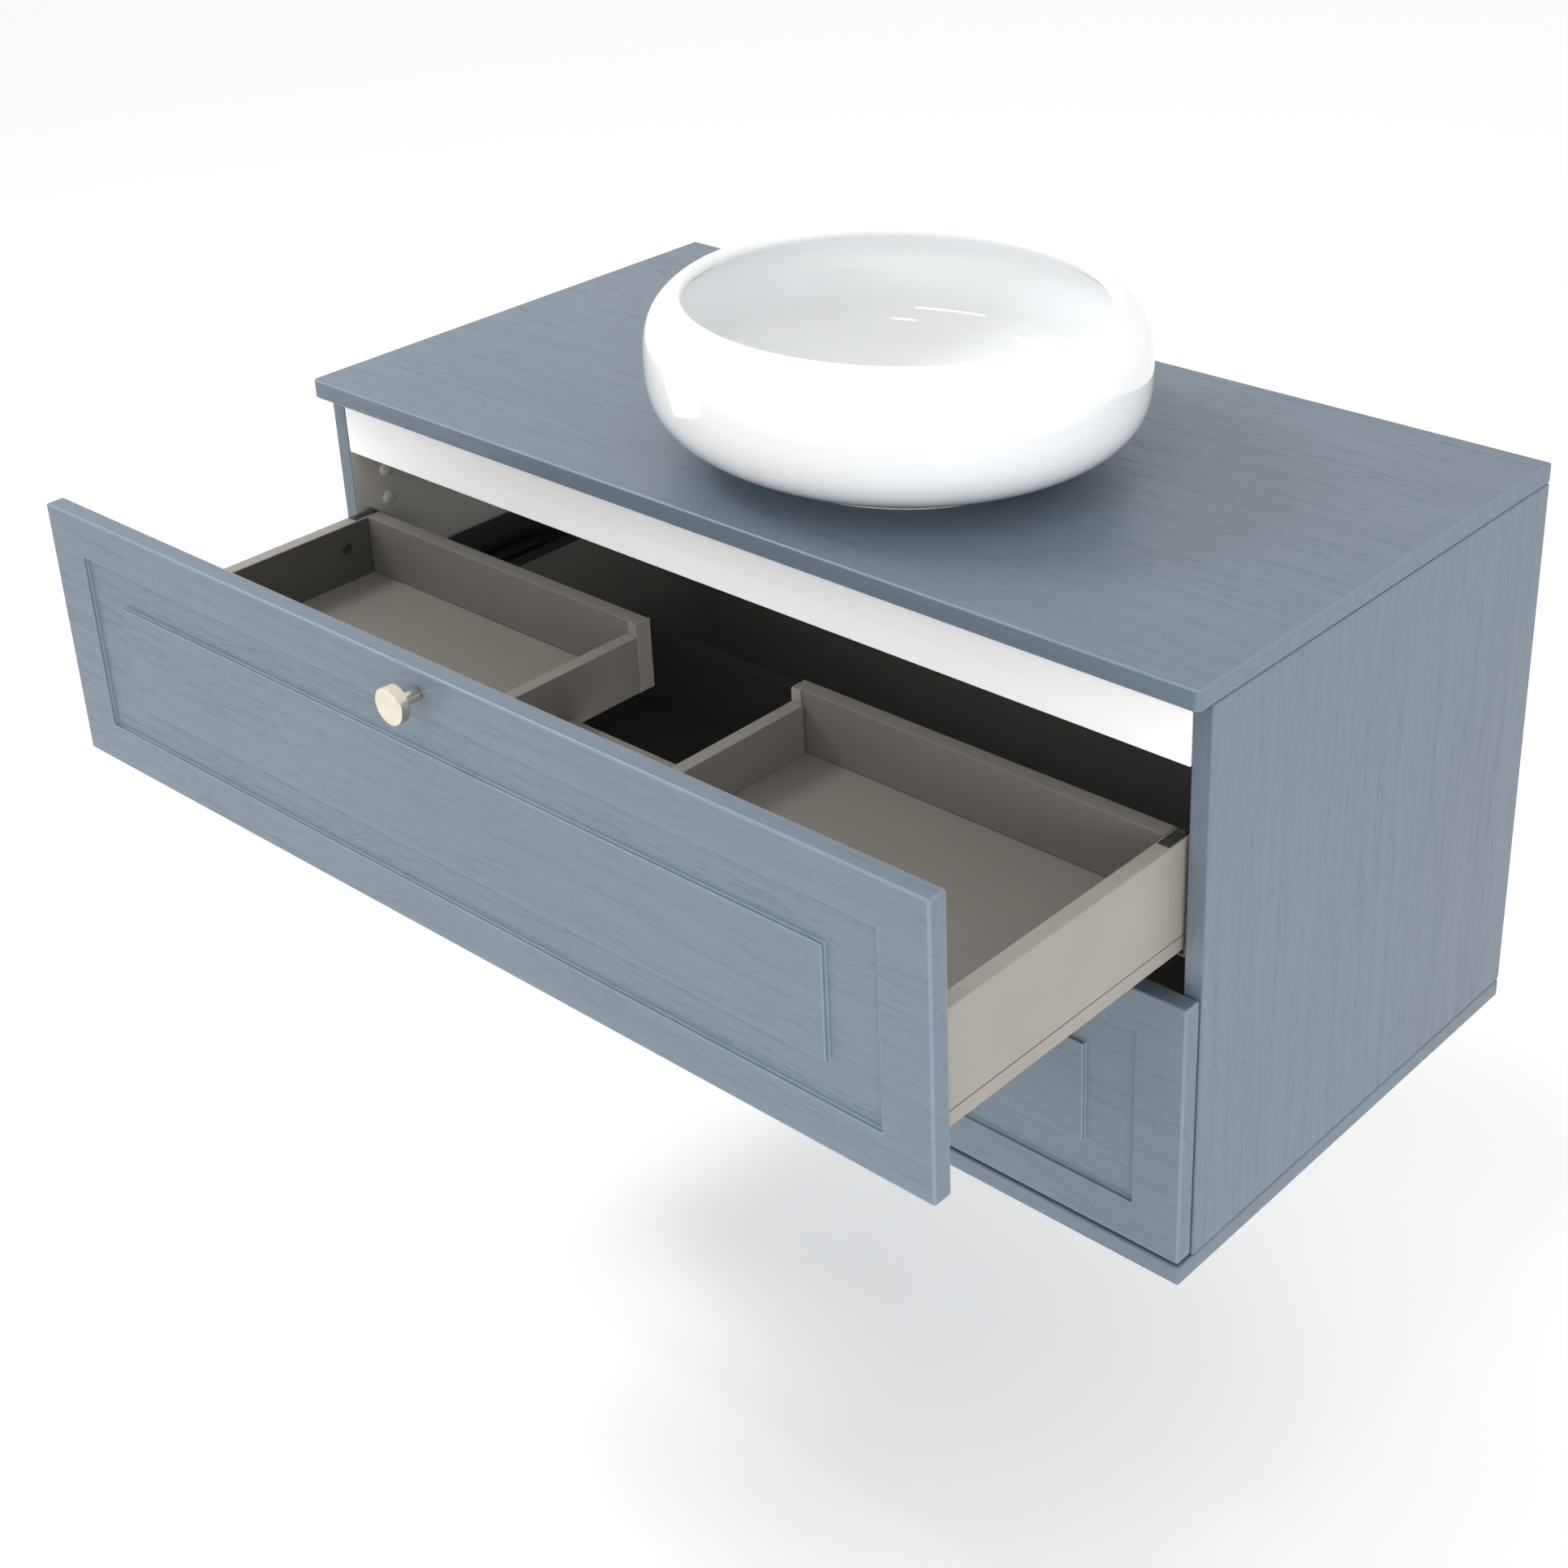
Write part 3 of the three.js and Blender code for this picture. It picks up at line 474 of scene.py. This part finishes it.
# ---- Knobs ----
# Turned metal with a champagne nickel plate: a disc on a thinner stem, held by a screw
# through the front. The plate keeps fine turning marks.
def turned_metal(name, centre, colour, roughness, groove, upright=False):
    """Plated metal with fine turning marks around the axis through centre, along Y or Z."""
    material, tree, shader, place = new_finish(name, roughness, metallic=1.0)
    apart = {0: place, 1: centre}
    centred = add_node(tree, "ShaderNodeVectorMath", apart, operation="SUBTRACT").outputs[0]
    flat = scaled(tree, centred, (1, 1, 0) if upright else (1, 0, 1))
    radius = add_node(tree, "ShaderNodeVectorMath", {0: flat}, operation="LENGTH").outputs["Value"]
    along = add_node(tree, "ShaderNodeSeparateXYZ", {0: centred}).outputs["Z" if upright else "Y"]
    ring = add_node(tree, "ShaderNodeCombineXYZ", {"X": radius, "Y": along}).outputs[0]
    marks = noise(tree, ring, 5200, 2.0)
    cloud = noise(tree, place, 60, 2.0)
    colour_between(tree, shader, remap(tree, cloud, 0.35, 0.65), colour, shaded(colour, 0.9))
    roughness_between(tree, shader, marks, roughness - 0.05, roughness + 0.08)
    raise_texture(tree, shader, marks, groove, 0.04 * MM)
    return material


for drawer in ("upper", "lower"):
    low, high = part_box(f"{drawer}_knob")
    centre = ((low.x + high.x) / 2, high.y, (low.z + high.z) / 2)
    length = high.y - low.y
    disc = (high.x - low.x) / 2
    disc_thickness = 8 * MM
    stem = 5 * MM
    neck = length - disc_thickness
    profile = [
        (0, 0), (4.1 * MM, 0), (4.1 * MM, 0.9 * MM), (stem, 1.2 * MM), (stem, neck - 0.6 * MM),
        (stem + 0.7 * MM, neck), (disc - 0.9 * MM, neck), (disc - 0.2 * MM, neck + 0.25 * MM),
        (disc, neck + 0.9 * MM), (disc, length - 0.8 * MM), (disc - 0.2 * MM, length - 0.25 * MM),
        (disc - 0.8 * MM, length), (disc - 1.6 * MM, length), (disc - 1.9 * MM, length - 0.15 * MM),
        (0, length - 0.15 * MM),
    ]
    nickel = turned_metal(f"champagne_nickel_{drawer}", centre, (0.72, 0.66, 0.55, 1), 0.2, 0.25)
    bm = aim(turned(profile, 64), centre, (0, -1, 0))
    finish_piece(f"{drawer}_pull", bm, [nickel], f"{drawer}_drawer", "nickel", f"{drawer}_knob")


# ---- Drawer boxes ----
# Powder-coated steel sides with a rolled seam, their inner faces darker as painted shade,
# around laminated backs, dividers and floors. Steel edge profiles line the notch for the waste.
def powder_coat(name, light, dark, roughness):
    """Baked powder paint on steel: fine orange peel and a slight change of tone."""
    material, tree, shader, place = new_finish(name, roughness)
    cloud = noise(tree, place, 14, 3.0, 0.6)
    peel = noise(tree, place, 1900, 2.0)
    colour_between(tree, shader, remap(tree, cloud, 0.3, 0.7), light, dark)
    roughness_between(tree, shader, peel, roughness - 0.06, roughness + 0.06)
    raise_texture(tree, shader, peel, 0.3, 0.12 * MM)
    return material


taupe_steel = powder_coat("taupe_steel", (0.270, 0.250, 0.225, 1), (0.245, 0.227, 0.204, 1), 0.4)
grey_laminate = laminate("warm_grey_laminate", (0.185, 0.170, 0.150, 1), (0.165, 0.151, 0.133, 1), 0.46)
# A dark copy of the steel's coat for the sides' inner faces: painted shade.
steel_painted_shade = powder_coat("steel_painted_shade", (0.075, 0.069, 0.060, 1), (0.066, 0.060, 0.052, 1), 0.45)
dark_plastic = moulded_plastic("dark_plastic", (0.035, 0.033, 0.031, 1), 0.42)


def extruded(outline, start, end):
    """A closed solid from a loop of (y, z) points carried along X."""
    bm = bmesh.new()
    cap = bm.faces.new([bm.verts.new((start, y, z)) for y, z in outline])
    carry(bm, [cap], (end - start, 0, 0))
    bmesh.ops.recalc_face_normals(bm, faces=bm.faces[:])
    return bm


def steel_side(node, body, sign):
    low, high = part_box(node)
    bm = plain_board(low, high)
    seam = low.z + 12 * MM
    seam_width = 1 * MM
    seam_depth = 0.8 * MM
    for z in (seam, seam + seam_width):
        slice_at(bm, (0, 0, z), (0, 0, 1))
    rim = sharp_edges(bm)
    outer_faces = [f for f in bm.faces if f.normal.x * sign > 0.9]
    strip = [f for f in outer_faces if seam < f.calc_center_median().z < seam + seam_width]
    carry(bm, strip, (-sign * seam_depth, 0, 0))
    bmesh.ops.delete(bm, geom=strip, context="FACES")
    rim = [e for e in rim if e.is_valid and len(e.link_faces) == 2 and e.calc_length() > 5 * seam_width]
    round_edges(bm, rim, 1.1 * MM, 3)
    bmesh.ops.recalc_face_normals(bm, faces=bm.faces[:])
    # The inner faces take the dark copy of the coat, painted shade on them.
    for face in bm.faces:
        face.material_index = 1 if face.normal.x * sign < -0.95 else 0
    finish_piece(f"steel_{node}", bm, [taupe_steel, steel_painted_shade], body, "taupe_steel", node)


floor_gap = 0.3 * MM
for side, sign in sides:
    for drawer in ("upper", "lower"):
        steel_side(f"{drawer}_side_{side}", f"{drawer}_drawer", sign)
    bm = rounded_board(*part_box(f"upper_back_{side}"), 0.7 * MM, 2)
    node = f"upper_back_{side}"
    finish_piece(f"tray_back_{side}", bm, [grey_laminate], "upper_drawer", "grey_laminate", node)

    node = f"upper_divider_{side}"
    low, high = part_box(node)
    above_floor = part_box("upper_floor")[1].z + floor_gap
    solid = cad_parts[node]
    points = [solid.matrix_world @ v.co for v in solid.data.vertices]
    skirt = min(p.y for p in points if p.z < low.z + 1 * MM)
    outline = [
        (low.y, above_floor), (skirt, above_floor), (skirt, low.z),
        (high.y, low.z), (high.y, high.z), (low.y, high.z),
    ]
    bm = extruded(outline, low.x, high.x)
    round_edges(bm, sharp_edges(bm), 0.7 * MM, 2)
    finish_piece(f"tray_divider_{side}", bm, [grey_laminate], "upper_drawer", "grey_laminate", node)

bm = rounded_board(*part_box("lower_back"), 0.7 * MM, 2)
finish_piece("deep_tray_back", bm, [grey_laminate], "lower_drawer", "grey_laminate", "lower_back")


def dress(node, material):
    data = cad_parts[node].data
    data.materials.clear()
    data.materials.append(material)


dress("upper_floor", grey_laminate)
dress("lower_floor", grey_laminate)
for side in ("left", "right"):
    dress(f"upper_trim_{side}", taupe_steel)


# ---- Corner clips and side adjusters ----
# Moulded dark plastic. Each clip sits over a rear corner, with a ridge and a hook on top.
# A round cover with a raised rim and a middle stud sits on the inner face of each side.
def join(bm, extra):
    loose = bpy.data.meshes.new("loose")
    extra.to_mesh(loose)
    extra.free()
    bm.from_mesh(loose)
    bpy.data.meshes.remove(loose)


root = 0.4 * MM
ridge_rise = 0.9 * MM
hook_rise = 1.6 * MM
for side, sign in sides:
    for drawer in ("upper", "lower"):
        node = f"{drawer}_clip_{side}"
        low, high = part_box(node)
        bm = rounded_board(low, high, 0.7 * MM, 2)
        ridge_low = Vector((low.x + 3.6 * MM, low.y + 3 * MM, high.z - root))
        ridge_high = Vector((high.x - 3.6 * MM, high.y - 9 * MM, high.z + ridge_rise))
        ridge = rounded_board(ridge_low, ridge_high, 0.5 * MM, 2)
        hook_low = Vector((low.x + 1.2 * MM, high.y - 6.5 * MM, high.z - root))
        hook_high = Vector((high.x - 1.2 * MM, high.y - 1.5 * MM, high.z + hook_rise))
        hook = rounded_board(hook_low, hook_high, 0.8 * MM, 2)
        join(bm, ridge)
        join(bm, hook)
        finish_piece(f"corner_{node}", bm, [dark_plastic], f"{drawer}_drawer", "dark_plastic", node)

    low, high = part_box(f"upper_adjuster_{side}")
    middle = (low + high) / 2
    middle.x = low.x if sign < 0 else high.x
    radius = (high.z - low.z) / 2
    profile = [
        (0, 0), (radius, 0), (radius, 1.2 * MM), (radius - 0.5 * MM, 1.8 * MM),
        (radius - 1.4 * MM, 1.8 * MM), (radius - 1.7 * MM, 0.8 * MM), (1.9 * MM, 0.8 * MM),
        (1.6 * MM, 1.6 * MM), (0, 1.6 * MM),
    ]
    bm = aim(turned(profile, 40), middle, (-sign, 0, 0))
    node = f"upper_adjuster_{side}"
    finish_piece(f"height_cam_{side}", bm, [dark_plastic], "upper_drawer", "dark_plastic", node)


# ---- Runners ----
# Folded steel profiles with an anthracite coat, fixed to the cabinet's sides. The fixed
# part has six pressed dimples in its web, and a small bent tab stands on its shelf, about
# a third of the way back.
anthracite = powder_coat("anthracite_steel", (0.055, 0.056, 0.058, 1), (0.044, 0.045, 0.047, 1), 0.36)
sheet = 1.6 * MM
dimple_columns = (124 * MM, 133 * MM, 142 * MM)
dimple_rows = (13 * MM, 24 * MM)
dimple = [
    (0, -0.1 * MM), (2.7 * MM, -0.1 * MM), (2.7 * MM, 0.1 * MM),
    (2.2 * MM, 0.32 * MM), (1.2 * MM, 0.4 * MM), (0, 0.4 * MM),
]
tab_from_front = 120 * MM
tab_near_wall = 33.5 * MM
tab_far_from_wall = 37 * MM
tab_bend = [(0, 0), (12, 0), (12, 1.4), (1.4, 1.4), (1.4, 6.2), (3.2, 7.4), (2.4, 8.4), (0, 6.8)]
for side, sign in sides:
    for drawer in ("upper", "lower"):
        for part in ("cabinet", "middle", "glide"):
            dress(f"{drawer}_runner_{part}_{side}", anthracite)
        low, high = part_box(f"{drawer}_runner_cabinet_{side}")
        side_face = high.x if sign > 0 else low.x
        bm = bmesh.new()
        for along in dimple_columns:
            for height in dimple_rows:
                place = (side_face - sign * sheet, low.y + along, low.z + height)
                join(bm, aim(turned(dimple, 20), place, (-sign, 0, 0)))
        finish_piece(f"{drawer}_runner_dimples_{side}", bm, [anthracite], "cabinet", "black_steel")
        foot_y = low.y + tab_from_front
        foot_z = low.z + sheet
        outline = [(foot_y + y * MM, foot_z + z * MM) for y, z in tab_bend]
        bm = extruded(outline, side_face - sign * tab_near_wall, side_face - sign * tab_far_from_wall)
        round_edges(bm, sharp_edges(bm), 0.25 * MM, 2)
        finish_piece(f"{drawer}_runner_tab_{side}", bm, [anthracite], "cabinet", "black_steel")


# ---- Basin ----
# Slip-cast vitreous china with a thick glossy glaze. The wall swells out from a narrow foot
# and turns in to a rounded lip.
def glazed_china(name):
    material, tree, shader, place = new_finish(name, 0.07, Coat_Weight=0.6, Coat_Roughness=0.03)
    cloud = noise(tree, place, 5, 3.0, 0.5)
    white = (0.85, 0.86, 0.865, 1)
    shade = (0.83, 0.845, 0.855, 1)
    colour_between(tree, shader, remap(tree, cloud, 0.3, 0.7), white, shade)
    roughness_between(tree, shader, noise(tree, place, 40, 2.0), 0.06, 0.10)
    raise_texture(tree, shader, noise(tree, place, 55, 1.0), 0.08, 0.4 * MM)
    return material


china = glazed_china("glazed_china")
low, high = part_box("basin")
half_width = (high.x - low.x) / 2
half_depth = (high.y - low.y) / 2
foot_radius = 122 * MM
rim_radius = 176 * MM
wall = 11 * MM
widest = 72 * MM
crown = 149 * MM
bowl_floor = 9 * MM
fullness_above = 3.2
fullness_below = 3.0


def basin_outline(angle):
    """A point of the wall's outer curve and the direction away from the wall there."""
    reach, power = (crown - widest, fullness_above) if angle >= 0 else (widest, fullness_below)
    c, s = math.cos(angle), math.sin(angle)
    stretch = (abs(c) ** power + abs(s) ** power) ** (-1 / power)
    rise = math.copysign((abs(s) * stretch) ** (power - 1), s) / reach
    slope = Vector(((c * stretch) ** (power - 1) / half_width, rise))
    return Vector((half_width * stretch * c, widest + reach * stretch * s)), slope.normalized()


# The angle at which the outer curve reaches the rim is found by halving.
rim_angle = 0.0
past_rim = math.pi / 2
for _ in range(30):
    halfway = (rim_angle + past_rim) / 2
    if basin_outline(halfway)[0].x > rim_radius:
        rim_angle = halfway
    else:
        past_rim = halfway
outer_wall = [basin_outline(math.radians(a)) for a in (-83, -72, -60, -48, -36, -24, -12, 0)]
outer_wall = [(p, n) for p, n in outer_wall if p.y > 0.5 * MM and p.x > foot_radius]
steps_to_rim = 7
outer_wall += [basin_outline(rim_angle * step / steps_to_rim) for step in range(1, steps_to_rim + 1)]
end, normal = outer_wall[-1]
middle = end - normal * wall / 2
turn = math.atan2(normal.y, normal.x)
lip_angles = [turn + math.pi * quarter / 4 for quarter in (1, 2, 3)]
lip = [middle + wall / 2 * Vector((math.cos(a), math.sin(a))) for a in lip_angles]
inner_wall = [p - n * wall for p, n in reversed(outer_wall)]
inner_wall = [p for p in inner_wall if p.y > 12 * MM and p.x > 45 * MM]
profile = [(waste_hole_radius, 0), (30 * MM, 0), (foot_radius - 8 * MM, 0), (foot_radius, 0.4 * MM)]
profile += [tuple(p) for p, n in outer_wall] + [tuple(p) for p in lip] + [tuple(p) for p in inner_wall]
profile += [
    (90 * MM, 10.6 * MM), (40 * MM, bowl_floor), (24 * MM, bowl_floor),
    (waste_hole_radius, 8.4 * MM), (waste_hole_radius, 0),
]
bm = turned(profile, 72)
bmesh.ops.scale(bm, vec=(1, half_depth / half_width, 1), verts=bm.verts[:])
bmesh.ops.translate(bm, vec=((low.x + high.x) / 2, (low.y + high.y) / 2, low.z), verts=bm.verts[:])
basin = finish_piece("china_basin", bm, [china], "cabinet", "ceramic", "basin")
basin.modifiers.clear()
rounding = basin.modifiers.new("rounding", "SUBSURF")
rounding.levels = 2
rounding.render_levels = 2


# ---- Basin waste ----
# Chromed metal: a flanged tube through basin and slab with a nut, a rubber washer and a
# tail tube below, and a plug that is pushed to close. A ring of sealant beds the basin.
chrome = turned_metal("chrome", (drain_x, drain_y, 0), (0.80, 0.81, 0.82, 1), 0.1, 0.1, upright=True)
rubber = moulded_plastic("black_rubber", (0.02, 0.02, 0.02, 1), 0.7)
for part in ("body", "plug", "nut", "tail"):
    dress(f"waste_{part}", chrome)
dress("waste_washer", rubber)
dress("basin_sealant", milky_plastic)


# ---- Knob screws and front fixings ----
# Bright metal like the waste: a screw through each drawer's front into its knob, and two
# fixings that join each front to the sides of its box.
for drawer in ("upper", "lower"):
    dress(f"{drawer}_knob_screw", chrome)
    for side in ("left", "right"):
        dress(f"{drawer}_fixing_{side}", chrome)
